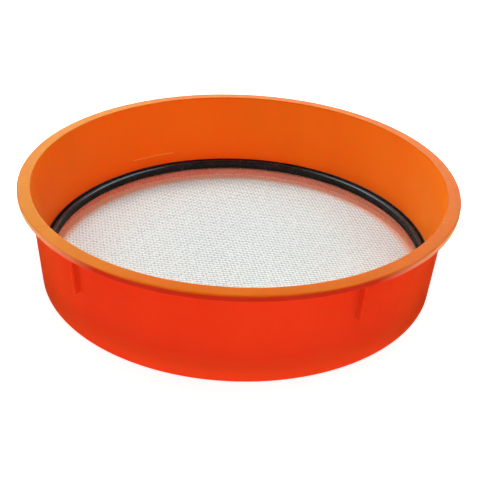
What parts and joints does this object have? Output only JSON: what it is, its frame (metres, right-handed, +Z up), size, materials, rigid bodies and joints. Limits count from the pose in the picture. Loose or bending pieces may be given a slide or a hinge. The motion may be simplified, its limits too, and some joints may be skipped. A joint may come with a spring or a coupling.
{
  "type": "soil sieve",
  "caption": "Round garden sieve: a tapered plastic frame with a wide flat rim, and a lift-out screen of woven wire cloth clamped between two black rings.",
  "frame": {"origin": "centre of the circle that the frame's bottom edge stands on", "axes": "+Z up, out of the bowl; +X towards one of the fifteen gussets under the rim"},
  "size_m": [0.45, 0.45, 0.104],
  "materials": {
    "frame_plastic": "satin injection-moulded orange polypropylene, slightly translucent",
    "carrier_plastic": "glossy moulded black plastic",
    "clamp_plastic": "semi-gloss moulded black plastic",
    "zinc_wire": "bright drawn wire with a thin zinc coat"
  },
  "bodies": {
    "frame": {"frame": "frame_plastic"},
    "screen": {"carrier_ring": "carrier_plastic", "clamp_ring": "clamp_plastic", "wire_cloth": "zinc_wire"}
  },
  "joints": [
    {"name": "screen_lift", "type": "slide", "parent": "frame", "child": "screen", "axis": [0, 0, 1], "range_m": [0, 0.11]}
  ]
}
